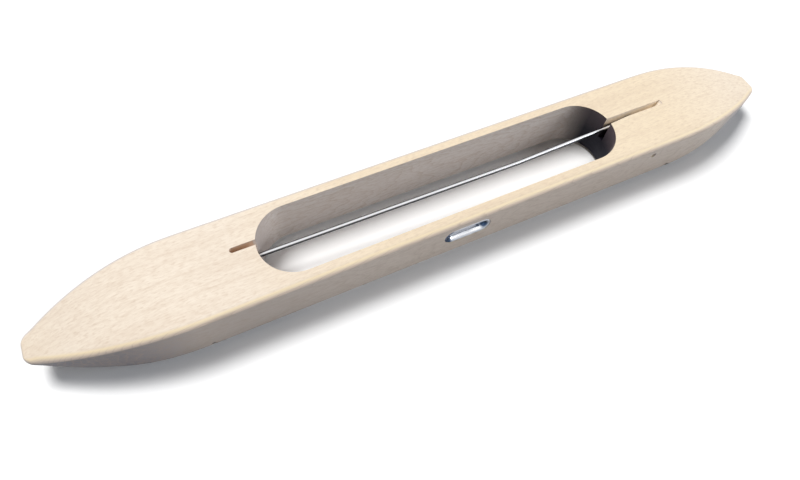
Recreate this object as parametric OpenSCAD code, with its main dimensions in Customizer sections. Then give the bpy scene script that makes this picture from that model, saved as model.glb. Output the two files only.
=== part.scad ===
// Boat shuttle for handweaving: a one-piece maple body that is open above and below,
// a hinged wire spindle for the bobbin, a metal thread eyelet in the front rail,
// and a small roller under each end.
// +X points to the end that holds the spindle's pivot, -Y is the front rail with the eyelet,
// and z = 0 is the surface that the rollers stand on.

/* [Body] */
// Overall length from nose to nose
body_l = 381; // [340:1:420]
// Width across both rails
body_w = 45.4; // [40:0.1:60]
// Height of the wooden body
body_h = 25.9; // [24:0.1:34]
// Rounding of the upper long edges
edge_r = 3; // [1:0.1:3.5]
// Rounding of the lower long edges
lower_edge_r = 3.2; // [1:0.1:4]

/* [Ends] */
// Width of the blunt nose
nose_w = 10.8; // [8:0.1:16]
// Thickness of the nose
nose_h = 2.9; // [2.6:0.1:5]
// Rounding of the nose, seen from the side
nose_r = 1.2; // [0.8:0.1:1.25]
// Rounding of the nose's two corners, seen from above
nose_corner_r = 3; // [1.5:0.1:3.5]
// Length over which the sides curve in to each nose
side_taper_l = 69.5; // [60:0.5:75]
// Length over which the top curves down to each nose
top_droop_l = 62.5; // [50:0.5:75]
// Drop of the top surface at the nose
top_droop = 11; // [8:0.1:14]
// Length over which the underside rises to each nose
bow_l = 52.5; // [45:0.5:60]
// Radius that blends the flat underside into its straight rise
bow_blend_r = 70; // [50:1:80]

/* [Bobbin opening] */
// Length of the opening, with half-round ends
opening_l = 182.7; // [150:0.1:200]
// Thickness of each side rail
rail_w = 5.65; // [4.5:0.05:7]

/* [Spindle pivot] */
// Diameter of the steel pins
pin_d = 3; // [2:0.1:3.4]
// Distance from the end of the opening to the pivot pin
pin_setback = 14; // [12:0.1:16]
// Depth of the pivot pin's centre below the top
pin_depth = 6.9; // [6:0.1:8]
// Depth of each pin's end below the side face
pin_recess = 1; // [0.5:0.1:2]
// Length of the pivot pin held in the wood behind the slot
pin_grip = 11; // [8:0.1:14]
// Distance of the pivot slot's centre behind the centre line
slot_offset = 0.95; // [0:0.05:3]
// Width of the pivot slot
slot_w = 2.6; // [2.5:0.1:4]
// Depth of the pivot slot at its deepest
slot_depth = 14.5; // [13.5:0.1:16]
// Distance from the opening to where the slot runs out in the top
slot_l = 33.1; // [30:0.1:38]
// Radius of the cutter that made the slot
cutter_r = 30; // [22:1:80]
// Extra width that the slot's mouth has at its front side
slot_flare = 0.8; // [0:0.1:1.5]
// Length of the wider mouth
slot_flare_l = 10; // [5:0.5:12]

/* [Spindle] */
// Diameter of the spindle's wire
wire_d = 2.1; // [1.5:0.1:2.1]
// Length of the straight root, from the pin to the slight bend
root_l = 65; // [50:1:80]
// Drop of the slight bend below the pin's centre
root_drop = 1.8; // [1:0.1:2.5]
// Height above the pin's centre at which the root leaves the eye
root_lift = 1.3; // [0:0.1:1.5]
// Reach of the spindle's tip into the tip slot
tip_reach = 5.6; // [4:0.1:8]
// Length of the tapered tip
tip_taper_l = 8; // [7:0.1:12]
// Diameter at the end of the tip
tip_d = 1.1; // [0.8:0.1:1.4]

/* [Tip slot] */
// Distance of the tip slot's centre behind the centre line
tip_slot_offset = 4.2; // [2:0.1:6]
// Width of the tip slot
tip_slot_w = 2.5; // [2.4:0.1:3.5]
// Length of the tip slot
tip_slot_l = 10.8; // [9:0.1:14]
// Depth of the tip slot below the top
tip_slot_depth = 13.1; // [12:0.1:15]

/* [Thread eyelet] */
// Outer length of the eyelet's lip
eyelet_l = 24; // [18:0.1:32]
// Outer height of the eyelet's lip
eyelet_h = 10; // [9:0.1:12]
// Width of the lip, from its outer edge to the throat
lip_w = 2.8; // [2:0.1:3]
// Thickness of the lip
lip_t = 1.2; // [1:0.1:1.6]
// Rounding of the lip's outer edge
lip_edge_r = 0.7; // [0.3:0.1:0.9]
// Wall of the eyelet's tube
eyelet_wall = 0.6; // [0.5:0.1:0.8]
// Depth of the eyelet's centre below the top
eyelet_depth = 10.3; // [10:0.1:12]

/* [Rollers] */
// Diameter of a roller
roller_d = 9.5; // [9:0.1:12]
// Length of a roller across the body
roller_l = 20; // [14:0.5:26]
// Distance of each roller's axle from the middle of the body
axle_x = 121.7; // [118:0.1:125]
// Height of the axles above the wooden underside
axle_h = 2.6; // [2.4:0.1:3.5]
// Free space round a roller in its pocket
roller_gap = 0.8; // [0.5:0.1:1.5]

/* [Hidden] */
$fn = 96;

// Fits, all as radial clearance
running_fit = 0.06;
roller_fit = 0.08;
held_fit = 0.02;
seat_gap = 0.05;
over = 1;

// The body stands on its rollers, so its underside is this high
under_z = roller_d / 2 - axle_h;
top_z = under_z + body_h;
axle_z = under_z + axle_h;
opening_w = body_w - 2 * rail_w;
opening_end = opening_l / 2;
pin_x = opening_end + pin_setback;
pin_z = top_z - pin_depth;
eyelet_z = top_z - eyelet_depth;
underside_rise = body_h - top_droop - nose_h;
throat_l = eyelet_l - 2 * lip_w;
throat_h = eyelet_h - 2 * lip_w;
mouth_r = lip_w - lip_edge_r;

// Curves of the ends. Each arc is tangent to the straight middle of the body.
function arc_radius(run, drop) = (run * run + drop * drop) / (2 * drop);
function arc_drop(run, radius) =
    run <= 0 ? 0 : radius - sqrt(max(0, radius * radius - run * run));
side_arc_r = arc_radius(side_taper_l, (body_w - nose_w) / 2);
droop_arc_r = arc_radius(top_droop_l, top_droop);

// Slope of the underside's straight rise, after its tangent blend
bow_a = bow_blend_r - underside_rise;
bow_angle = atan2(bow_l, bow_a) - acos(bow_blend_r / norm([bow_a, bow_l]));
function bow_rise(run) =
    run <= 0 ? 0
    : run < bow_blend_r * sin(bow_angle) ? arc_drop(run, bow_blend_r)
    : bow_blend_r * (1 - cos(bow_angle)) + (run - bow_blend_r * sin(bow_angle)) * tan(bow_angle);

// Shape of an end, x being the distance from the middle of the body
function nose_round(x, radius) = arc_drop(x - body_l / 2 + radius, radius);
function half_width(x) =
    body_w / 2 - arc_drop(x - body_l / 2 + side_taper_l, side_arc_r) - nose_round(x, nose_corner_r);
function top_at(x) =
    top_z - arc_drop(x - body_l / 2 + top_droop_l, droop_arc_r) - nose_round(x, nose_r);
function under_at(x) = under_z + bow_rise(x - body_l / 2 + bow_l) + nose_round(x, nose_r);

// Places of the cross-sections, close together round the nose
taper_steps = 26;
nose_steps = 8;
corner_steps = 6;
taper_start = body_l / 2 - max(side_taper_l, top_droop_l, bow_l);
nose_start = body_l / 2 - nose_corner_r;
half_stations = [
    for (i = [0:taper_steps]) taper_start + (nose_start - taper_start) * i / taper_steps,
    for (i = [1:nose_steps]) nose_start + nose_corner_r * sin(90 * i / nose_steps)
];
stations = [
    for (i = [len(half_stations) - 1:-1:0]) -half_stations[i],
    for (s = half_stations) s
];

function corner(cy, cz, r, from) = [
    for (k = [0:corner_steps])
        let (a = from + 90 * k / corner_steps) [cy + r * cos(a), cz + r * sin(a)]
];

// Cross-section of the body, as a rectangle with its own upper and lower corner radii
function section(x) =
    let (
        half = half_width(x),
        high = top_at(x),
        low = under_at(x),
        most = 0.48 * min(high - low, 2 * half),
        upper = min(edge_r, most),
        lower = min(lower_edge_r, most)
    )
    concat(
        corner(half - upper, high - upper, upper, 0),
        corner(-half + upper, high - upper, upper, 90),
        corner(-half + lower, low + lower, lower, 180),
        corner(half - lower, low + lower, lower, 270)
    );

section_points = 4 * (corner_steps + 1);

module hull_shell() {
    last = len(stations) - 1;
    points = [
        for (x = stations)
            for (p = section(abs(x))) [x, p[0], p[1]]
    ];
    sides = [
        for (i = [0:last - 1])
            for (k = [0:section_points - 1])
                let (
                    a = i * section_points + k,
                    b = i * section_points + (k + 1) % section_points,
                    c = a + section_points,
                    d = b + section_points
                )
                each [[a, d, b], [a, c, d]]
    ];
    first_cap = [for (k = [0:section_points - 1]) k];
    last_cap = [for (k = [section_points - 1:-1:0]) last * section_points + k];
    polyhedron(points = points, faces = concat([first_cap], sides, [last_cap]));
}

// Flat shape with half-round ends along X
module stadium(l, h) {
    square([l - h, h], center = true);
    for (side = [-1, 1])
        translate([side * (l - h) / 2, 0]) circle(d = h);
}

// Upright cylinder turned to lie along Y, from y_from to y_to
module bar_y(x, z, d, y_from, y_to) {
    translate([x, y_to, z]) rotate([90, 0, 0]) cylinder(d = d, h = y_to - y_from);
}

module bobbin_opening() {
    translate([0, 0, -over])
        linear_extrude(top_z + 2 * over) stadium(opening_l, opening_w);
}

// The slot's floor is the arc of a round cutter, so it runs out in the top surface
module pivot_slot() {
    cutter_lift = cutter_r - slot_depth;
    cutter_x = opening_end + slot_l - sqrt(cutter_r * cutter_r - cutter_lift * cutter_lift);
    front = slot_offset - slot_w / 2;
    back = slot_offset + slot_w / 2;
    mouth_x = opening_end - opening_w / 2;
    intersection() {
        linear_extrude(top_z + over)
            polygon([
                [mouth_x, back],
                [mouth_x, front - slot_flare],
                [opening_end, front - slot_flare],
                [opening_end + slot_flare_l, front],
                [opening_end + slot_l + over, front],
                [opening_end + slot_l + over, back]
            ]);
        bar_y(cutter_x, top_z + cutter_lift, 2 * cutter_r, front - slot_flare - over, back + over);
    }
}

module tip_slot() {
    translate([-opening_end - tip_slot_l + tip_slot_w / 2, tip_slot_offset, top_z - tip_slot_depth])
        linear_extrude(tip_slot_depth + over) {
            circle(d = tip_slot_w);
            translate([0, -tip_slot_w / 2]) square([tip_slot_l + opening_w / 2, tip_slot_w]);
        }
}

module roller_pocket(side) {
    pocket_d = roller_d + 2 * roller_gap;
    pocket_l = roller_l + 2 * roller_gap;
    bar_y(side * axle_x, axle_z, pocket_d, -pocket_l / 2, pocket_l / 2);
    translate([side * axle_x - pocket_d / 2, -pocket_l / 2, -over])
        cube([pocket_d, pocket_l, axle_z + over]);
}

module eyelet_seat() {
    clear = 2 * held_fit;
    tube = 2 * eyelet_wall + clear;
    translate([0, -body_w / 2, eyelet_z]) rotate([90, 0, 0]) {
        translate([0, 0, -lip_t - held_fit])
            linear_extrude(lip_t + over) stadium(eyelet_l + clear, eyelet_h + clear);
        translate([0, 0, -rail_w - over])
            linear_extrude(rail_w + over) stadium(throat_l + tube, throat_h + tube);
    }
}

pin_from = -body_w / 2 + pin_recess;
pin_to = slot_offset + slot_w / 2 + pin_grip;
axle_half = body_w / 2 - pin_recess;

module body() {
    color("blanchedalmond")
        difference() {
            hull_shell();
            bobbin_opening();
            pivot_slot();
            tip_slot();
            eyelet_seat();
            bar_y(pin_x, pin_z, pin_d + 2 * held_fit, -body_w, pin_to + seat_gap);
            for (side = [-1, 1]) {
                roller_pocket(side);
                bar_y(side * axle_x, axle_z, pin_d + 2 * held_fit, -body_w, body_w);
            }
        }
}

// Round bar from one point to another, turned to a profile of [distance along it, diameter]
module turned_bar(from, to, profile) {
    v = to - from;
    last = len(profile) - 1;
    translate(from)
        rotate([0, acos(v[2] / norm(v)), atan2(v[1], v[0])])
            rotate_extrude()
                polygon(concat(
                    [[0, profile[0][0]]],
                    [for (p = profile) [p[1] / 2, p[0]]],
                    [[0, profile[last][0]]]
                ));
}

// The wire leaves its eye along the pivot slot, bends slightly, and lies in the tip slot
eye_r = pin_d / 2 + running_fit + wire_d / 2;
pivot = [pin_x, slot_offset, pin_z];
knee = pivot + [-root_l, 0, -root_drop];
tip = [
    -opening_end - tip_reach,
    tip_slot_offset,
    top_z - tip_slot_depth + wire_d / 2 + seat_gap
];
bend_bead_d = wire_d + 0.06;
eye_neck_d = 0.9 * wire_d;
tip_chamfer = 0.25;

module spindle() {
    root_from = pivot + [-sqrt(eye_r * eye_r - root_lift * root_lift), 0, root_lift];
    seat_run = norm(tip - knee);
    color("silver") {
        translate(pivot) rotate([90, 0, 0])
            rotate_extrude() translate([eye_r, 0]) circle(d = wire_d);
        turned_bar(root_from, knee, [
            [0, eye_neck_d],
            [wire_d, wire_d],
            [norm(knee - root_from), wire_d]
        ]);
        translate(knee) sphere(d = bend_bead_d);
        turned_bar(knee, tip, [
            [0, wire_d],
            [seat_run - tip_taper_l, wire_d],
            [seat_run - tip_chamfer, tip_d],
            [seat_run, tip_d - 2 * tip_chamfer]
        ]);
    }
}

module pivot_pin() {
    color("gray") bar_y(pin_x, pin_z, pin_d, pin_from, pin_to);
}

// Sweeps a flat section round a stadium's outline. The section's X is the distance outside it.
module sweep_stadium(l, h) {
    straight = l - h;
    for (side = [-1, 1]) {
        translate([side * straight / 2, 0, 0])
            rotate([0, 0, -90 * side])
                rotate_extrude(angle = 180) translate([h / 2, 0]) children();
        rotate([0, 0, 90 - 90 * side])
            translate([-straight / 2, h / 2, 0])
                rotate([90, 0, 90]) linear_extrude(straight) children();
    }
}

// Corner outside a quarter circle whose centre is at [cx, cy], open towards side * X and +Y
module round_off(cx, cy, r, side) {
    difference() {
        translate([side > 0 ? cx : cx - r - over, cy]) square([r + over, r + over]);
        translate([cx, cy]) circle(r = r);
    }
}

// Wall of the eyelet beside its throat, with a rounded mouth. Y = 0 is the face of the rail.
module eyelet_section() {
    difference() {
        union() {
            translate([0, -lip_t]) square([lip_w, lip_t]);
            translate([0, -rail_w]) square([eyelet_wall, rail_w]);
        }
        round_off(mouth_r, -mouth_r, mouth_r, -1);
        round_off(lip_w - lip_edge_r, -lip_edge_r, lip_edge_r, 1);
    }
}

module thread_eyelet() {
    color("gainsboro")
        translate([0, -body_w / 2, eyelet_z]) rotate([90, 0, 0])
            sweep_stadium(throat_l, throat_h) eyelet_section();
}

module roller(side) {
    bore_d = pin_d + 2 * roller_fit;
    chamfer = 0.6;
    color("whitesmoke")
        translate([side * axle_x, roller_l / 2, axle_z]) rotate([90, 0, 0])
            rotate_extrude()
                polygon([
                    [bore_d / 2, 0],
                    [roller_d / 2 - chamfer, 0],
                    [roller_d / 2, chamfer],
                    [roller_d / 2, roller_l - chamfer],
                    [roller_d / 2 - chamfer, roller_l],
                    [bore_d / 2, roller_l]
                ]);
}

module roller_axle(side) {
    color("gray") bar_y(side * axle_x, axle_z, pin_d, -axle_half, axle_half);
}

body();
spindle();
pivot_pin();
thread_eyelet();
roller(-1);  // roller_left
roller(1);  // roller_right
roller_axle(-1);  // roller_axle_left
roller_axle(1);  // roller_axle_right
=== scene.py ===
"""Looks of a boat shuttle: a pale maple body with softened edges, a bright wire spindle,
a plated thread eyelet, steel cross pins and two rollers, on a white studio floor."""

import math

import bmesh
import bpy
from mathutils import Matrix, Vector


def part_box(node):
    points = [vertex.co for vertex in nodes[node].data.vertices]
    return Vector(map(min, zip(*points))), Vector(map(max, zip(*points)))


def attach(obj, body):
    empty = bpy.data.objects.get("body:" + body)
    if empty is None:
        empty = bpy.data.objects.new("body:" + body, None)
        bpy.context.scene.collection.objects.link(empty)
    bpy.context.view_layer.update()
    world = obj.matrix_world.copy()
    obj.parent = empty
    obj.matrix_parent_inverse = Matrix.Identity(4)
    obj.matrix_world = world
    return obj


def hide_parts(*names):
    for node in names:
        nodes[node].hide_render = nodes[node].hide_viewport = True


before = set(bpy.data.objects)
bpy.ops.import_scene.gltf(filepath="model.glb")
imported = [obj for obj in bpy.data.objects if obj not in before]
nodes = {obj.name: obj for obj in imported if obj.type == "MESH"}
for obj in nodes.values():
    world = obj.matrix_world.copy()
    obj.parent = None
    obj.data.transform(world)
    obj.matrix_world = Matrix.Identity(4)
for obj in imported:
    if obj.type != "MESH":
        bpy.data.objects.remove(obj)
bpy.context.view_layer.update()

MM = 0.001

# Sizes of the shuttle, in millimetres
BODY_LOW, BODY_HIGH = (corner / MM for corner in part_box("body"))
BODY_L = BODY_HIGH.x - BODY_LOW.x
BODY_W = BODY_HIGH.y - BODY_LOW.y
UNDER_Z = BODY_LOW.z
TOP_Z = BODY_HIGH.z
BODY_H = TOP_Z - UNDER_Z
EDGE_R = 3
LOWER_EDGE_R = 3.2
NOSE_W = 10.8
NOSE_H = 2.9
NOSE_R = 1.2
NOSE_CORNER_R = 3
SIDE_TAPER_L = 69.5
TOP_DROOP_L = 62.5
TOP_DROOP = 11
BOW_L = 52.5
BOW_BLEND_R = 70
OPENING_L = 182.7
RAIL_W = 5.65
OPENING_W = BODY_W - 2 * RAIL_W
OPENING_END = OPENING_L / 2

PIN_D = 3
HELD_FIT = 0.02
PIN_SETBACK = 14
PIN_DEPTH = 6.9
PIN_X = OPENING_END + PIN_SETBACK
PIN_Z = TOP_Z - PIN_DEPTH
SLOT_OFFSET = 0.95
SLOT_W = 2.6
SLOT_DEPTH = 14.5
SLOT_L = 33.1
CUTTER_R = 30
SLOT_FLARE = 0.8
SLOT_FLARE_L = 10
PIN_GRIP = 11
TIP_SLOT_OFFSET = 4.2
TIP_SLOT_W = 2.5
TIP_SLOT_L = 10.8
TIP_SLOT_DEPTH = 13.1
AXLE_X = 121.7
AXLE_Z = 4.75
ROLLER_D = 9.5
ROLLER_L = 20
ROLLER_GAP = 0.8
POCKET_D = ROLLER_D + 2 * ROLLER_GAP
POCKET_L = ROLLER_L + 2 * ROLLER_GAP

EYELET_L = 24
EYELET_H = 10
EYELET_DEPTH = 10.3
EYELET_Z = TOP_Z - EYELET_DEPTH
LIP_W = 2.8
LIP_T = 1.2
EYELET_WALL = 0.6

# Sanded rims in millimetres, and shading, with angles in degrees
RIM_SOFTENING = 0.28
RIM_ANGLE = 40
SMOOTH_BELOW = 35
LARGE_FACE_WEIGHT = 80

# How far a cutter reaches past the face that it cuts, and a difference too small to count
PAST = 1
HAIR = 0.01

# Two places in a mesh that are closer than this, in metres, are one place
SAME_PLACE = 1e-7

# Share of half a width that a half-round end takes, so that no face shrinks to nothing
HALF_ROUND = 0.999
FINE_HALF_ROUND = 0.9999

# Grain of the maple, in metres and rings per metre
PITH_Y = 0.05
PITH_Z = 0.014
PITH_LEAN = 0.08
RING_WANDER = 0.008
RINGS_PER_M = 850.0

# Where tones of the wood begin and where they are full, in millimetres along or up the shuttle
LEFT_TONE = (-40, -100)
RIGHT_TONE = (120, 175)
# Painted shade on the sides of the noses, at the left and the right
LEFT_NOSE_SHADE = (-125, -155)
RIGHT_NOSE_SHADE = (152, 165)
# Painted shade on the opening's right end wall: where it begins along the shuttle, and the heights over
# which it grows lighter
END_WALL_SHADE_X = (60, 70)
END_WALL_SHADE_HEIGHTS = (14, 26)

# Colours of the wood
WOOD_CREAM = (0.82, 0.69, 0.51, 1)
WOOD_PINK = (0.83, 0.73, 0.61, 1)
WOOD_TAN = (0.58, 0.445, 0.33, 1)
WOOD_SIDE = (0.82, 0.68, 0.55, 1)
WOOD_SIDE_DULL = (0.67, 0.56, 0.465, 1)
WOOD_INNER = (0.87, 0.79, 0.72, 1)
# Painted shade on the sides of the noses
WOOD_NOSE_PAINTED_SHADE = (0.30, 0.27, 0.28, 1)
# Painted highlight on the front upper edge, yellower lower down
WOOD_EDGE_PAINTED_HIGHLIGHT = (0.97, 0.80, 0.54, 1)
WOOD_EDGE_LOW_PAINTED_HIGHLIGHT = (1.0, 0.80, 0.62, 1)
WOOD_RIM = (0.62, 0.57, 0.55, 1)
WOOD_END = (0.60, 0.53, 0.50, 1)
# Painted shade on the opening's right end wall and deep in the pivot slot, lighter higher up
WOOD_END_WALL_PAINTED_SHADE = (0.012, 0.010, 0.018, 1)
WOOD_END_WALL_PAINTED_SHADE_HIGH = (0.13, 0.10, 0.11, 1)
# Painted light on the walls of the pivot slot
WOOD_SLOT_PAINTED_LIGHT = (0.93, 0.82, 0.68, 1)
WOOD_RUBBED = (0.72, 0.53, 0.39, 1)

# Colours of the metal
PLATE_BRIGHT = (0.92, 0.93, 0.95, 1)
PLATE_GREY = (0.66, 0.68, 0.72, 1)
PLATE_DARK = (0.06, 0.10, 0.18, 1)
WIRE_BRIGHT = (0.84, 0.85, 0.87, 1)
# Painted highlight on the pivot pin's end
PIN_PAINTED_HIGHLIGHT = (0.98, 0.98, 1.0, 1)
# Painted shade on the axle ends
AXLE_PAINTED_SHADE = (0.05, 0.05, 0.055, 1)
STEEL_DULL = (0.02, 0.025, 0.035, 1)

# Colours of the rollers
PLASTIC_DEEP = (0.74, 0.73, 0.69, 1)
PLASTIC_PALE = (0.84, 0.83, 0.79, 1)

# Colours of the studio
FLOOR_BOUNCE = (0.38, 0.42, 0.49, 1)
FLOOR_MIRRORED = (0.55, 0.57, 0.60, 1)
FLOOR_SEEN = (0.995, 0.99, 0.98, 1)
WORLD_LIGHT = (0.03, 0.033, 0.04, 1)
WORLD_SEEN = (1, 1, 1, 1)
FILL_TINT = (0.9, 0.94, 1.0)

# Lamps and floor, in metres and watts
FLOOR_SIZE = 1.2
LAMP_DISTANCE = 4.0
KEY_TOWARD = (-0.2, 0.39, 1.0)
KEY_SIZE = 1.6
KEY_WATTS = 176
FILL_TOWARD = (0.72, -0.55, 0.42)
FILL_SIZE = 2.4
FILL_WATTS = 84

# The camera, in millimetres and degrees
EYE = (-99.56, -129.84, 254.75)
TARGET = (-33.7, -19.5, 28.05)
ROLL = 6.46
LENS = 27.085
SENSOR_W = 36


def deselect_all():
    if bpy.context.object and bpy.context.object.mode != "OBJECT":
        bpy.ops.object.mode_set(mode="OBJECT")
    bpy.ops.object.select_all(action="DESELECT")


def activate(piece):
    deselect_all()
    piece.select_set(True)
    bpy.context.view_layer.objects.active = piece


def rename(name):
    piece = bpy.context.object
    piece.name = name
    piece.data.name = name
    return piece


def in_place():
    """Puts the active object's place, turn and size into its mesh."""
    bpy.ops.object.transform_apply(location=True, rotation=True, scale=True)


def block(name, low, high):
    """Box between two corners, in millimetres."""
    low, high = Vector(low) * MM, Vector(high) * MM
    deselect_all()
    bpy.ops.mesh.primitive_cube_add(size=1, location=(low + high) / 2)
    bpy.context.object.scale = high - low
    in_place()
    return rename(name)


def cross_bar(name, centre, d, length, sides=64):
    """Cylinder across the shuttle, in millimetres."""
    deselect_all()
    bpy.ops.mesh.primitive_cylinder_add(
        vertices=sides,
        radius=d / 2 * MM,
        depth=length * MM,
        location=Vector(centre) * MM,
        rotation=(math.pi / 2, 0, 0),
    )
    in_place()
    return rename(name)


def select_edges(piece, wanted):
    """Goes into edit mode with only those edges selected whose two ends pass the test."""
    activate(piece)
    bpy.ops.object.mode_set(mode="EDIT")
    bpy.ops.mesh.select_mode(type="EDGE")
    bpy.ops.mesh.select_all(action="DESELECT")
    mesh = bmesh.from_edit_mesh(piece.data)
    for edge in mesh.edges:
        if wanted(edge.verts[0].co / MM, edge.verts[1].co / MM):
            edge.select_set(True)
    bmesh.update_edit_mesh(piece.data)


def round_edges(piece, radius, wanted, steps):
    select_edges(piece, wanted)
    bpy.ops.mesh.bevel(
        offset=radius * MM, offset_type="OFFSET", segments=steps, profile=0.5, clamp_overlap=False
    )
    bpy.ops.object.mode_set(mode="OBJECT")
    return piece


def along(axis):
    """Test for an edge that runs along one axis."""
    return lambda a, b: abs((b - a).normalized()[axis]) > 0.999


def stadium_block(name, low, high, axis, steps=24):
    """Box with half-round ends, seen along the given axis, in millimetres."""
    piece = block(name, low, high)
    size = [h - l for l, h in zip(low, high)]
    radius = min(s for i, s in enumerate(size) if i != axis) / 2
    return round_edges(piece, radius * FINE_HALF_ROUND, along(axis), steps)


def combine(piece, other, operation):
    """Applies a boolean with the other object, and removes that object."""
    activate(piece)
    modifier = piece.modifiers.new("boolean", "BOOLEAN")
    modifier.operation = operation
    modifier.solver = "EXACT"
    modifier.object = other
    bpy.ops.object.modifier_apply(modifier=modifier.name)
    bpy.data.objects.remove(other)


def cut(piece, cutter):
    combine(piece, cutter, "DIFFERENCE")


# Curves of the ends, as in the solid model


def arc_radius(run, drop):
    return (run * run + drop * drop) / (2 * drop)


def arc_drop(run, radius):
    return 0 if run <= 0 else radius - math.sqrt(max(0, radius * radius - run * run))


SIDE_ARC_R = arc_radius(SIDE_TAPER_L, (BODY_W - NOSE_W) / 2)
DROOP_ARC_R = arc_radius(TOP_DROOP_L, TOP_DROOP)
BOW_A = BOW_BLEND_R - (BODY_H - TOP_DROOP - NOSE_H)
BOW_ANGLE = math.atan2(BOW_L, BOW_A) - math.acos(BOW_BLEND_R / math.hypot(BOW_A, BOW_L))


def bow_rise(run):
    blend_run = BOW_BLEND_R * math.sin(BOW_ANGLE)
    if run < blend_run:
        return arc_drop(run, BOW_BLEND_R)
    return BOW_BLEND_R * (1 - math.cos(BOW_ANGLE)) + (run - blend_run) * math.tan(BOW_ANGLE)


def nose_round(x, radius):
    return arc_drop(x - BODY_L / 2 + radius, radius)


def section(x):
    """Corner centres and radii of the cross-section: {(side, upper): (y, z, radius)}."""
    half = BODY_W / 2 - arc_drop(x - BODY_L / 2 + SIDE_TAPER_L, SIDE_ARC_R) - nose_round(x, NOSE_CORNER_R)
    high = TOP_Z - arc_drop(x - BODY_L / 2 + TOP_DROOP_L, DROOP_ARC_R) - nose_round(x, NOSE_R)
    low = UNDER_Z + bow_rise(x - BODY_L / 2 + BOW_L) + nose_round(x, NOSE_R)
    most = 0.48 * min(high - low, 2 * half)
    upper_r = min(EDGE_R, most)
    lower_r = min(LOWER_EDGE_R, most)
    corners = {}
    for side in (-1, 1):
        corners[side, True] = (side * (half - upper_r), high - upper_r, upper_r)
        corners[side, False] = (side * (half - lower_r), low + lower_r, lower_r)
    return corners


def stations():
    """Distances from the middle to the cross-sections of one end, close together round the nose."""
    taper_steps = 44
    nose_steps = 12
    start = BODY_L / 2 - max(SIDE_TAPER_L, TOP_DROOP_L, BOW_L)
    nose = BODY_L / 2 - NOSE_CORNER_R
    places = [start + (nose - start) * i / taper_steps for i in range(taper_steps + 1)]
    for i in range(1, nose_steps + 1):
        places.append(nose + NOSE_CORNER_R * math.sin(math.pi / 2 * i / nose_steps))
    return places


def select_vertices(piece, wanted):
    """In edit mode, selects the vertices that pass the test and nothing else."""
    mesh = bmesh.from_edit_mesh(piece.data)
    for vertex in mesh.verts:
        vertex.select = wanted(vertex)
    mesh.select_flush_mode()
    bmesh.update_edit_mesh(piece.data)


def move_corners(piece, x, old, new):
    """Takes the four rounded corners of the selected ring from the old section to the new one."""
    mesh = bmesh.from_edit_mesh(piece.data)
    corners = {key: set() for key in new}
    mid_z = sum(old[1, up][1] for up in (False, True)) / 2 * MM
    for vertex in mesh.verts:
        if vertex.select:
            corners[1 if vertex.co.y > 0 else -1, vertex.co.z > mid_z].add(vertex.index)
    for key, corner in corners.items():
        (y0, z0, r0), (y1, z1, r1) = old[key], new[key]
        select_vertices(piece, lambda vertex: vertex.index in corner)
        grow = r1 / r0
        bpy.ops.transform.resize(value=(1, grow, grow), center_override=(x * MM, y0 * MM, z0 * MM))
        bpy.ops.transform.translate(value=(0, (y1 - y0) * MM, (z1 - z0) * MM))
    ring = set().union(*corners.values())
    select_vertices(piece, lambda vertex: vertex.index in ring)


def shape_end(piece, places):
    """Draws the end face out station by station, with its rounded corners moved to each section."""
    activate(piece)
    bpy.ops.object.mode_set(mode="EDIT")
    bpy.ops.mesh.select_mode(type="VERT")
    select_vertices(piece, lambda vertex: abs(vertex.co.x - places[0] * MM) < SAME_PLACE)
    for x_old, x_new in zip(places, places[1:]):
        bpy.ops.mesh.extrude_region_move(
            TRANSFORM_OT_translate={"value": ((x_new - x_old) * MM, 0, 0)}
        )
        move_corners(piece, x_new, section(x_old), section(x_new))
    bpy.ops.object.mode_set(mode="OBJECT")


def mirror_end(piece):
    """Opens the end at the middle of the shuttle and adds the other end."""
    activate(piece)
    bpy.ops.object.mode_set(mode="EDIT")
    bpy.ops.mesh.select_mode(type="FACE")
    bpy.ops.mesh.select_all(action="DESELECT")
    mesh = bmesh.from_edit_mesh(piece.data)
    for face in mesh.faces:
        if all(abs(v.co.x) < SAME_PLACE for v in face.verts):
            face.select_set(True)
    bmesh.update_edit_mesh(piece.data)
    bpy.ops.mesh.delete(type="FACE")
    bpy.ops.object.mode_set(mode="OBJECT")
    mirror = piece.modifiers.new("other end", "MIRROR")
    mirror.use_axis = (True, False, False)
    mirror.merge_threshold = 10 * SAME_PLACE
    bpy.ops.object.modifier_apply(modifier=mirror.name)


def body_blank():
    """The shuttle's outer form before anything is cut into it."""
    places = stations()
    piece = block("wood_body", (0, -BODY_W / 2, UNDER_Z), (places[0], BODY_W / 2, TOP_Z))
    lengthwise = along(0)
    middle_z = (UNDER_Z + TOP_Z) / 2
    round_edges(piece, EDGE_R, lambda a, b: lengthwise(a, b) and a.z > middle_z, steps=7)
    round_edges(piece, LOWER_EDGE_R, lambda a, b: lengthwise(a, b) and a.z < UNDER_Z + HAIR, steps=7)
    shape_end(piece, places)
    mirror_end(piece)
    return piece


def flare_mouth(plan, front):
    """Moves the front wall of the slot's plan outwards where it meets the opening."""
    activate(plan)
    bpy.ops.object.mode_set(mode="EDIT")
    for x in (OPENING_END, OPENING_END + SLOT_FLARE_L):
        bpy.ops.mesh.select_all(action="SELECT")
        bpy.ops.mesh.bisect(plane_co=(x * MM, 0, 0), plane_no=(1, 0, 0))
    bpy.ops.mesh.select_mode(type="VERT")
    select_vertices(
        plan,
        lambda vertex: vertex.co.y < (front + HAIR) * MM and vertex.co.x < (OPENING_END + HAIR) * MM,
    )
    bpy.ops.transform.translate(value=(0, -SLOT_FLARE * MM, 0))
    bpy.ops.object.mode_set(mode="OBJECT")


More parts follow.
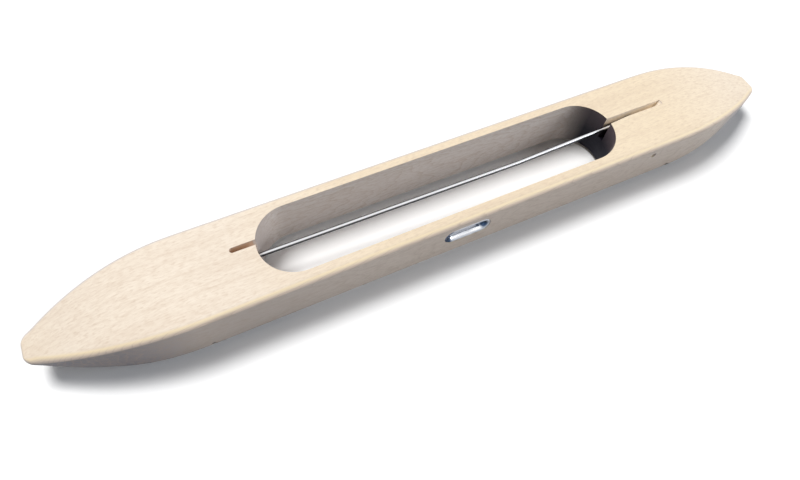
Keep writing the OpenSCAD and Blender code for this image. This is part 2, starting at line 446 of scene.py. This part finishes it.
def pivot_slot_cutter():
    """The slot is a round cutter's groove, with a mouth that is wider at the front."""
    front = SLOT_OFFSET - SLOT_W / 2
    back = SLOT_OFFSET + SLOT_W / 2
    mouth_x = OPENING_END - OPENING_W / 2
    low = (mouth_x, front, UNDER_Z - 5 * PAST)
    high = (OPENING_END + SLOT_L + PAST, back, TOP_Z + PAST)
    plan = block("slot_plan", low, high)
    flare_mouth(plan, front)

    lift = CUTTER_R - SLOT_DEPTH
    cutter_x = OPENING_END + SLOT_L - math.sqrt(CUTTER_R**2 - lift**2)
    disc_middle = (cutter_x, SLOT_OFFSET, TOP_Z + lift)
    disc = cross_bar("slot_disc", disc_middle, 2 * CUTTER_R, 12, sides=512)
    combine(plan, disc, "INTERSECT")
    return plan


def tip_slot_cutter():
    front = TIP_SLOT_OFFSET - TIP_SLOT_W / 2
    back = TIP_SLOT_OFFSET + TIP_SLOT_W / 2
    piece = block(
        "tip_slot",
        (-OPENING_END - TIP_SLOT_L, front, TOP_Z - TIP_SLOT_DEPTH),
        (-OPENING_END + OPENING_W / 2, back, TOP_Z + PAST),
    )
    upright = along(2)
    return round_edges(
        piece, TIP_SLOT_W / 2 * HALF_ROUND, lambda a, b: upright(a, b) and a.x < -OPENING_END - 1, steps=8
    )


def pocket_cutter(side):
    """Roller pocket: a box with a half-round roof."""
    x = side * AXLE_X
    piece = block(
        "roller_pocket",
        (x - POCKET_D / 2, -POCKET_L / 2, -2 * PAST),
        (x + POCKET_D / 2, POCKET_L / 2, AXLE_Z + POCKET_D / 2),
    )
    crosswise = along(1)
    return round_edges(
        piece, POCKET_D / 2 * HALF_ROUND, lambda a, b: crosswise(a, b) and a.z > AXLE_Z, steps=16
    )


def eyelet_seat_cutters():
    face = -BODY_W / 2
    throat_l = EYELET_L - 2 * LIP_W
    throat_h = EYELET_H - 2 * LIP_W
    tube_l = throat_l + 2 * (EYELET_WALL + HELD_FIT)
    tube_h = throat_h + 2 * (EYELET_WALL + HELD_FIT)
    lip_l = EYELET_L + 2 * HELD_FIT
    lip_h = EYELET_H + 2 * HELD_FIT
    yield stadium_block(
        "lip_seat",
        (-lip_l / 2, face - PAST, EYELET_Z - lip_h / 2),
        (lip_l / 2, face + LIP_T + HELD_FIT, EYELET_Z + lip_h / 2),
        axis=1,
    )
    yield stadium_block(
        "tube_hole",
        (-tube_l / 2, face - PAST, EYELET_Z - tube_h / 2),
        (tube_l / 2, face + RAIL_W + PAST, EYELET_Z + tube_h / 2),
        axis=1,
    )


def soften_rims(piece):
    """Sands every cut rim to a small round."""
    activate(piece)
    bevel = piece.modifiers.new("sanded rims", "BEVEL")
    bevel.width = RIM_SOFTENING * MM
    bevel.segments = 2
    bevel.limit_method = "ANGLE"
    bevel.angle_limit = math.radians(RIM_ANGLE)
    bevel.use_clamp_overlap = True
    bevel.miter_outer = "MITER_ARC"
    bpy.ops.object.modifier_apply(modifier=bevel.name)


def finish_shading(piece):
    activate(piece)
    bpy.ops.object.shade_smooth_by_angle(angle=math.radians(SMOOTH_BELOW))
    weighted = piece.modifiers.new("flat faces stay flat", "WEIGHTED_NORMAL")
    weighted.keep_sharp = True
    weighted.weight = LARGE_FACE_WEIGHT
    bpy.ops.object.modifier_apply(modifier=weighted.name)


def wooden_body():
    piece = body_blank()
    cut(piece, stadium_block(
        "opening",
        (-OPENING_END, -OPENING_W / 2, UNDER_Z - 2 * PAST),
        (OPENING_END, OPENING_W / 2, TOP_Z + 2 * PAST),
        axis=2,
        steps=32,
    ))
    cut(piece, pivot_slot_cutter())
    cut(piece, tip_slot_cutter())
    for cutter in eyelet_seat_cutters():
        cut(piece, cutter)
    pin_to = SLOT_OFFSET + SLOT_W / 2 + PIN_GRIP
    pin_from = -BODY_W / 2 - 2 * PAST
    pin_middle = (PIN_X, (pin_from + pin_to) / 2, PIN_Z)
    bore_d = PIN_D + 2 * HELD_FIT
    cut(piece, cross_bar("pin_bore", pin_middle, bore_d, pin_to - pin_from))
    for side in (-1, 1):
        cut(piece, pocket_cutter(side))
        axle_middle = (side * AXLE_X, 0, AXLE_Z)
        cut(piece, cross_bar("axle_bore", axle_middle, bore_d, BODY_W + 4 * PAST))
    soften_rims(piece)
    finish_shading(piece)
    return piece


# Materials


def emptied(owner):
    """Node tree of a material or world, without the nodes that it starts with."""
    owner.use_nodes = True
    for node in list(owner.node_tree.nodes):
        owner.node_tree.nodes.remove(node)
    return owner.node_tree


def new_material(name):
    material = bpy.data.materials.new(name)
    tree = emptied(material)
    output = tree.nodes.new("ShaderNodeOutputMaterial")
    shader = tree.nodes.new("ShaderNodeBsdfPrincipled")
    tree.links.new(shader.outputs[0], output.inputs["Surface"])
    return material, tree, shader


class Graph:
    """Short ways to add and join shader nodes in one tree."""

    def __init__(self, tree):
        self.tree = tree

    def feed(self, socket, value):
        if hasattr(value, "is_output"):
            self.tree.links.new(value, socket)
        else:
            socket.default_value = value

    def math(self, operation, a, b=0.0):
        node = self.tree.nodes.new("ShaderNodeMath")
        node.operation = operation
        self.feed(node.inputs[0], a)
        self.feed(node.inputs[1], b)
        return node.outputs[0]

    def place(self, scale=(1, 1, 1)):
        """Place on the piece, in metres, stretched along each axis."""
        coordinates = self.tree.nodes.new("ShaderNodeTexCoord")
        mapping = self.tree.nodes.new("ShaderNodeMapping")
        self.tree.links.new(coordinates.outputs["Object"], mapping.inputs["Vector"])
        mapping.inputs["Scale"].default_value = scale
        return mapping.outputs[0]

    def facing(self):
        """Which way the surface faces, in the piece's own directions."""
        coordinates = self.tree.nodes.new("ShaderNodeTexCoord")
        return self.split(coordinates.outputs["Normal"])

    def noise(self, scale, detail=2.0, roughness=0.5):
        """Noise whose grain has the given number of waves per metre along X, Y and Z."""
        node = self.tree.nodes.new("ShaderNodeTexNoise")
        self.tree.links.new(self.place(scale), node.inputs["Vector"])
        node.inputs["Scale"].default_value = 1.0
        node.inputs["Detail"].default_value = detail
        node.inputs["Roughness"].default_value = roughness
        return node.outputs["Fac"]

    def split(self, vector):
        node = self.tree.nodes.new("ShaderNodeSeparateXYZ")
        self.tree.links.new(vector, node.inputs[0])
        return node.outputs

    def span(self, value, low, high, to_low=0.0, to_high=1.0):
        """Takes low to high onto to_low to to_high, and holds the ends."""
        node = self.tree.nodes.new("ShaderNodeMapRange")
        self.feed(node.inputs["Value"], value)
        node.inputs["From Min"].default_value = low
        node.inputs["From Max"].default_value = high
        node.inputs["To Min"].default_value = to_low
        node.inputs["To Max"].default_value = to_high
        return node.outputs["Result"]

    def share(self, place, nothing, full, most=1.0):
        """Share that grows from nothing at one place to the most at the other, in millimetres."""
        return self.span(place, nothing * MM, full * MM, 0.0, most)

    def blend(self, share, a, b):
        """Colour between a, at share 0, and b, at share 1."""
        node = self.tree.nodes.new("ShaderNodeMix")
        node.data_type = "RGBA"
        self.feed(node.inputs["Factor"], share)
        self.feed(node.inputs["A"], a)
        self.feed(node.inputs["B"], b)
        return node.outputs["Result"]

    def bump(self, height, distance, strength):
        node = self.tree.nodes.new("ShaderNodeBump")
        node.inputs["Distance"].default_value = distance
        node.inputs["Strength"].default_value = strength
        self.tree.links.new(height, node.inputs["Height"])
        return node.outputs[0]


def maple():
    material, tree, shader = new_material("pale_maple")
    g = Graph(tree)
    x, y, z = g.split(g.place())
    facing = g.facing()
    on_sides = g.span(g.math("ABSOLUTE", facing[1]), 0.4, 0.9)
    grain_end = g.span(g.math("ABSOLUTE", facing[0]), 0.35, 0.95)
    figure = g.math("MULTIPLY", growth_rings(g, x, y, z), g.span(on_sides, 0.0, 1.0, 0.12, 0.36))
    fleck = g.noise((380, 1500, 1500), roughness=0.6)
    streak = g.noise((26, 700, 700))
    cloud = g.noise((9, 100, 60))
    mottle = g.noise((320, 650, 650), detail=1.0)

    colour = clear_wood(g, x, y, on_sides)
    colour = g.blend(g.span(cloud, 0.42, 0.75, 0.0, 0.24), colour, WOOD_TAN)
    colour = g.blend(g.span(mottle, 0.4, 0.7, 0.0, 0.2), colour, WOOD_TAN)
    colour = g.blend(g.span(streak, 0.5, 0.8, 0.0, 0.28), colour, WOOD_TAN)
    colour = g.blend(g.span(fleck, 0.5, 0.75, 0.0, 0.46), colour, WOOD_TAN)
    colour = with_rounded_edges(g, colour, facing)
    colour = g.blend(figure, colour, WOOD_TAN)
    colour = g.blend(g.math("MULTIPLY", grain_end, 0.8), colour, WOOD_END)
    colour = with_slots(g, colour, x, y, z, facing)
    tree.links.new(colour, shader.inputs["Base Color"])
    tree.links.new(g.span(streak, 0.3, 0.8, 0.42, 0.55), shader.inputs["Roughness"])
    shader.inputs["Specular IOR Level"].default_value = 0.3
    height = g.math("ADD", fleck, g.math("MULTIPLY", streak, 0.6))
    tree.links.new(g.bump(height, 0.03 * MM, 0.5), shader.inputs["Normal"])
    return material


def growth_rings(g, x, y, z):
    """Share of dark late wood, in rings round a far pith that leans, so that they arch on the sides."""
    wander = g.math("SUBTRACT", g.noise((22, 60, 90), detail=3.0), 0.5)
    pith_y = g.math("ADD", g.math("MULTIPLY", x, PITH_LEAN), PITH_Y)
    across = g.math("ADD", g.math("SUBTRACT", y, pith_y), g.math("MULTIPLY", wander, RING_WANDER))
    up = g.math("SUBTRACT", z, PITH_Z)
    squares = g.math("ADD", g.math("MULTIPLY", across, across), g.math("MULTIPLY", up, up))
    reach = g.math("SQRT", squares)
    ring = g.math("FRACT", g.math("MULTIPLY", reach, RINGS_PER_M))
    return g.math("MULTIPLY", g.span(ring, 0.7, 0.95), g.span(ring, 1.0, 0.96))


def clear_wood(g, x, y, on_sides):
    """The tone of each part of the body before specks and rings, with painted shade on the sides of the
    noses.
    """
    left_part = g.share(x, *LEFT_TONE)
    right_part = g.share(x, *RIGHT_TONE, most=0.7)
    inner = g.share(g.math("ABSOLUTE", y), OPENING_W / 2 + 0.5, OPENING_W / 2 + 0.2)
    top = g.blend(g.math("MAXIMUM", left_part, right_part), WOOD_CREAM, WOOD_PINK)
    side = g.blend(left_part, g.blend(right_part, WOOD_SIDE, WOOD_PINK), WOOD_SIDE_DULL)
    colour = g.blend(on_sides, top, side)
    colour = g.blend(g.math("MULTIPLY", on_sides, inner), colour, WOOD_INNER)
    # Painted shade on the sides of both noses
    return g.blend(g.math("MULTIPLY", on_sides, painted_nose_shade(g, x)), colour, WOOD_NOSE_PAINTED_SHADE)


def with_rounded_edges(g, colour, facing):
    """Adds a painted highlight, lighter and yellower, on the front upper edge, and the greyer back edge.
    """
    edge = g.math("MULTIPLY", g.span(facing[2], 0.05, 0.3), g.span(facing[2], 0.97, 0.85))
    front = g.math("MULTIPLY", edge, g.span(facing[1], 0.1, -0.1))
    back = g.math("MULTIPLY", edge, g.span(facing[1], 0.15, 0.4))
    # Painted highlight on the front upper edge
    painted_highlight_tone = g.blend(g.span(facing[2], 0.8, 0.5), WOOD_EDGE_PAINTED_HIGHLIGHT, WOOD_EDGE_LOW_PAINTED_HIGHLIGHT)
    colour = g.blend(g.math("MULTIPLY", front, 0.9), colour, painted_highlight_tone)
    return g.blend(g.math("MULTIPLY", back, 0.8), colour, WOOD_RIM)


def with_slots(g, colour, x, y, z, facing):
    """Adds painted light on the pivot slot's walls, the rubbed tip slot, and painted shade on the
    opening's right end wall and deep in the pivot slot.
    """
    under_rim = below_rim(g, z)
    # Painted light on the pivot slot's walls
    colour = g.blend(g.math("MULTIPLY", in_pivot_slot(g, x, y), under_rim), colour, WOOD_SLOT_PAINTED_LIGHT)
    colour = g.blend(g.math("MULTIPLY", in_tip_slot(g, x, y), under_rim), colour, WOOD_RUBBED)
    # Painted shade on the right end wall, lighter higher up
    end_wall_shade = g.blend(g.share(z, *END_WALL_SHADE_HEIGHTS), WOOD_END_WALL_PAINTED_SHADE, WOOD_END_WALL_PAINTED_SHADE_HIGH)
    return g.blend(painted_end_wall_shade(g, x, y, z, facing), colour, end_wall_shade)


def painted_nose_shade(g, x):
    """Share of the painted shade on the sides of both noses, where they narrow."""
    left = g.share(x, *LEFT_NOSE_SHADE)
    right = g.share(x, *RIGHT_NOSE_SHADE, most=0.55)
    return g.math("MAXIMUM", left, right)


def painted_end_wall_shade(g, x, y, z, facing):
    """Share of the painted shade on the opening's right end wall and deep in the pivot slot there."""
    turned = g.span(facing[0], -0.25, -0.8)
    right = g.share(x, *END_WALL_SHADE_X)
    inside = g.share(x, OPENING_END + 0.6, OPENING_END + 0.3)
    wall = g.math("MULTIPLY", g.math("MULTIPLY", turned, right), inside)
    deep = g.share(z, TOP_Z - 4, TOP_Z - 7)
    near_opening = g.share(x, PIN_X + 6, PIN_X - 2)
    deep = g.math("MULTIPLY", deep, near_opening)
    return g.math("MAXIMUM", wall, g.math("MULTIPLY", in_pivot_slot(g, x, y), deep))


def in_pivot_slot(g, x, y):
    beside = g.math("ABSOLUTE", g.math("SUBTRACT", y, SLOT_OFFSET * MM))
    lengthwise = g.math(
        "MULTIPLY",
        g.share(x, OPENING_END - 0.6, OPENING_END - 0.3),
        g.share(x, OPENING_END + SLOT_L + 1, OPENING_END + SLOT_L),
    )
    wall = SLOT_W / 2 + SLOT_FLARE
    return g.math("MULTIPLY", lengthwise, g.share(beside, wall + 0.5, wall + 0.3))


def in_tip_slot(g, x, y):
    beside = g.math("ABSOLUTE", g.math("SUBTRACT", y, TIP_SLOT_OFFSET * MM))
    end = -OPENING_END - TIP_SLOT_L
    lengthwise = g.math(
        "MULTIPLY",
        g.share(x, -OPENING_END, -OPENING_END - 0.5),
        g.share(x, end - 1, end - 0.5),
    )
    wall = TIP_SLOT_W / 2
    return g.math("MULTIPLY", lengthwise, g.share(beside, wall + 0.35, wall + 0.15))


def below_rim(g, z):
    """Share of a slot's wall from just under its sanded rim down to the roller pocket."""
    deep = g.share(z, TOP_Z - 0.2, TOP_Z - 0.5)
    pocket_roof = AXLE_Z + POCKET_D / 2
    above_pocket = g.share(z, pocket_roof + 1, pocket_roof + 2)
    return g.math("MULTIPLY", deep, above_pocket)


def bright_steel(name, colour, roughness, lay, metallic=1.0, dull_sides=0.0):
    """Drawn or ground steel. The lay gives its fine scratches per metre along X, Y and Z.

    dull_sides darkens all but its top, in place of the dark surroundings that it would mirror."""
    material, tree, shader = new_material(name)
    g = Graph(tree)
    scratches = g.noise(lay)
    shade = g.span(scratches, 0.3, 0.7, 0.9, 1.0)
    worn = g.blend(shade, tuple(c * 0.75 for c in colour[:3]) + (1,), colour)
    facing = g.facing()
    below = g.span(facing[2], 0.85, 0.6, 0.0, dull_sides)
    behind = g.span(facing[1], 0.05, 0.35, 0.0, dull_sides)
    dull = g.math("MAXIMUM", below, behind)
    tree.links.new(g.blend(dull, worn, STEEL_DULL), shader.inputs["Base Color"])
    shader.inputs["Metallic"].default_value = metallic
    tree.links.new(
        g.span(scratches, 0.3, 0.7, roughness * 0.8, roughness * 1.3), shader.inputs["Roughness"]
    )
    tree.links.new(g.bump(scratches, 0.01 * MM, 0.3), shader.inputs["Normal"])
    return material


def bright_plate():
    """Nickel plate with fine polishing marks along the oval. It is blue-black where it faces left
    and at its left end, in place of the dark surroundings that it would mirror."""
    material, tree, shader = new_material("bright_plate")
    g = Graph(tree)
    x = g.split(g.place())[0]
    lip_end = EYELET_L / 2
    throat_end = lip_end - LIP_W
    past_throat = g.share(x, 1.6 - throat_end, 0.2 - throat_end)
    before_rim = g.share(x, 0.1 - lip_end, 0.8 - lip_end)
    left_end = g.math("MULTIPLY", past_throat, before_rim)
    unlit = g.math("MAXIMUM", g.span(g.facing()[0], -0.12, -0.5), left_end)
    marks = g.noise((150, 1200, 1200))
    silver = g.blend(g.span(marks, 0.35, 0.65), PLATE_GREY, PLATE_BRIGHT)
    tree.links.new(g.blend(unlit, silver, PLATE_DARK), shader.inputs["Base Color"])
    shader.inputs["Metallic"].default_value = 1.0
    tree.links.new(g.span(marks, 0.3, 0.7, 0.1, 0.2), shader.inputs["Roughness"])
    tree.links.new(g.bump(marks, 0.02 * MM, 0.3), shader.inputs["Normal"])
    return material


def roller_plastic():
    material, tree, shader = new_material("roller_plastic")
    g = Graph(tree)
    mottle = g.noise((300, 300, 300), detail=3.0)
    colour = g.blend(mottle, PLASTIC_DEEP, PLASTIC_PALE)
    tree.links.new(colour, shader.inputs["Base Color"])
    tree.links.new(g.span(mottle, 0.3, 0.7, 0.38, 0.5), shader.inputs["Roughness"])
    tree.links.new(g.bump(mottle, 0.02 * MM, 0.4), shader.inputs["Normal"])
    return material


def studio_floor():
    """White to the camera, and a bluish grey in the metal and for the light that it throws back."""
    material = bpy.data.materials.new("studio_floor")
    tree = emptied(material)
    g = Graph(tree)
    output = tree.nodes.new("ShaderNodeOutputMaterial")
    path = tree.nodes.new("ShaderNodeLightPath")
    diffuse = tree.nodes.new("ShaderNodeBsdfDiffuse")
    colour = g.blend(path.outputs["Is Glossy Ray"], FLOOR_BOUNCE, FLOOR_MIRRORED)
    colour = g.blend(path.outputs["Is Camera Ray"], colour, FLOOR_SEEN)
    tree.links.new(colour, diffuse.inputs["Color"])
    tree.links.new(diffuse.outputs[0], output.inputs["Surface"])
    return material


def give(piece, material):
    piece.data.materials.clear()
    piece.data.materials.append(material)


wood = maple()
body_piece = wooden_body()
give(body_piece, wood)
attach(body_piece, "shuttle")
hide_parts("body")

lengthwise_lay = (60, 2500, 2500)
even_lay = (1500, 1500, 1500)
give(nodes["spindle"], bright_steel("drawn_wire", WIRE_BRIGHT, 0.24, lengthwise_lay, dull_sides=0.9))
# The pivot pin is a nearly white, nearly matt steel: a painted highlight on its end
give(nodes["pivot_pin"], bright_steel("pin_steel", PIN_PAINTED_HIGHLIGHT, 0.45, even_lay, metallic=0.1))
# The axle ends are nearly black: painted shade in their bores
axle_steel_painted_shade = bright_steel("axle_steel_painted_shade", AXLE_PAINTED_SHADE, 0.5, even_lay, metallic=0.5)
for name in ("roller_axle_left", "roller_axle_right"):
    give(nodes[name], axle_steel_painted_shade)
give(nodes["thread_eyelet"], bright_plate())
plastic = roller_plastic()
for name in ("roller_left", "roller_right"):
    give(nodes[name], plastic)

# The studio


def floor():
    deselect_all()
    bpy.ops.mesh.primitive_plane_add(size=FLOOR_SIZE, location=(0, 0, 0))
    piece = rename("studio_floor")
    give(piece, studio_floor())


def soft_light(name, toward, size, watts, colour=(1, 1, 1)):
    """Square soft light that shines on the origin from the given direction."""
    direction = Vector(toward).normalized()
    deselect_all()
    bpy.ops.object.light_add(type="AREA", location=direction * LAMP_DISTANCE)
    lamp = bpy.context.object
    lamp.name = name
    lamp.data.shape = "SQUARE"
    lamp.data.size = size
    lamp.data.energy = watts
    lamp.data.color = colour
    lamp.rotation_euler = direction.to_track_quat("Z", "Y").to_euler()
    return lamp


def studio_world():
    """White backdrop and a weak all-round light."""
    world = bpy.data.worlds.new("studio")
    bpy.context.scene.world = world
    tree = emptied(world)
    g = Graph(tree)
    output = tree.nodes.new("ShaderNodeOutputWorld")
    background = tree.nodes.new("ShaderNodeBackground")
    path = tree.nodes.new("ShaderNodeLightPath")
    seen = g.math("MAXIMUM", path.outputs["Is Camera Ray"], path.outputs["Is Glossy Ray"])
    seen = g.math("MAXIMUM", seen, path.outputs["Is Transmission Ray"])
    tree.links.new(g.blend(seen, WORLD_LIGHT, WORLD_SEEN), background.inputs["Color"])
    tree.links.new(background.outputs[0], output.inputs["Surface"])


def camera():
    """The photograph's viewpoint, solved from the shuttle's edges."""
    eye = Vector(EYE) * MM
    target = Vector(TARGET) * MM
    roll = math.radians(ROLL)
    back = (eye - target).normalized()
    right = Vector((0, 0, 1)).cross(back).normalized()
    up = back.cross(right)
    turned_right = right * math.cos(roll) + up * math.sin(roll)
    turned_up = up * math.cos(roll) - right * math.sin(roll)
    deselect_all()
    bpy.ops.object.camera_add(location=eye)
    lens = bpy.context.object
    lens.name = "camera"
    lens.matrix_world = Matrix.Translation(eye) @ Matrix(
        (turned_right, turned_up, back)
    ).transposed().to_4x4()
    lens.data.sensor_fit = "HORIZONTAL"
    lens.data.sensor_width = SENSOR_W
    lens.data.lens = LENS
    lens.data.clip_start = 0.01
    bpy.context.scene.camera = lens


floor()
key = soft_light("key", KEY_TOWARD, KEY_SIZE, KEY_WATTS)
key.visible_glossy = False
soft_light("fill", FILL_TOWARD, FILL_SIZE, FILL_WATTS, FILL_TINT)
studio_world()
camera()
bpy.context.scene.view_settings.view_transform = "Standard"
